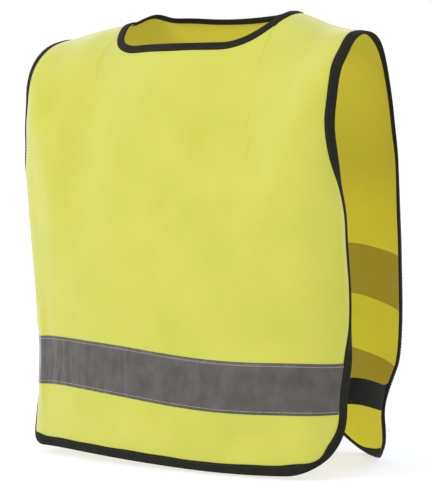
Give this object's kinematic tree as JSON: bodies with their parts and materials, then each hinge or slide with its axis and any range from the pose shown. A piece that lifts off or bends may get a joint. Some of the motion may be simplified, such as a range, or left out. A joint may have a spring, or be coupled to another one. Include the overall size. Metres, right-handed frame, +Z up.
{
  "type": "high visibility vest",
  "caption": "Pull-over high visibility tabard with bound edges, reflective bands and elastic side straps, held open as it is worn.",
  "frame": {"origin": "middle of the line on which the vest hangs from the wearer's shoulders", "axes": "+Z up along the body, -Y out of the wearer's chest, +X to the wearer's left"},
  "size_m": [0.3868, 0.2068, 0.4382],
  "materials": {
    "fluorescent_cloth": "matt fluorescent yellow knitted polyester",
    "reflective_tape": "satin grey glass-bead reflective tape",
    "binding_tape": "matt black woven bias binding",
    "elastic_webbing": "matt black ribbed knitted elastic",
    "band_thread": "light grey polyester thread",
    "black_thread": "black polyester thread"
  },
  "bodies": {
    "back": {"back_edge_binding": "binding_tape", "back_edge_binding_stitching": "black_thread", "back_lower_reflective_band": "reflective_tape", "back_lower_reflective_band_lower_stitching": "band_thread", "back_lower_reflective_band_upper_stitching": "band_thread", "back_neck_binding": "binding_tape", "back_neck_binding_stitching": "black_thread", "back_panel": "fluorescent_cloth", "back_upper_reflective_band": "reflective_tape", "back_upper_reflective_band_lower_stitching": "band_thread", "back_upper_reflective_band_upper_stitching": "band_thread", "left_shoulder_seam": "black_thread", "left_side_strap": "elastic_webbing", "left_strap_back_tack": "black_thread", "right_shoulder_seam": "black_thread", "right_side_strap": "elastic_webbing", "right_strap_back_tack": "black_thread"},
    "front": {"front_edge_binding": "binding_tape", "front_edge_binding_stitching": "black_thread", "front_neck_binding": "binding_tape", "front_neck_binding_stitching": "black_thread", "front_panel": "fluorescent_cloth", "front_reflective_band": "reflective_tape", "front_reflective_band_lower_stitching": "band_thread", "front_reflective_band_upper_stitching": "band_thread", "left_strap_front_tack": "black_thread", "right_strap_front_tack": "black_thread"}
  },
  "joints": [
    {"name": "front_panel_swing", "type": "hinge", "parent": "back", "child": "front", "pos_m": [0, 0, 0], "axis": [-1, 0, 0], "range_deg": [-8, 12], "stiffness_Nm_per_rad": 2, "deforming": ["left_side_strap", "right_side_strap"]}
  ]
}
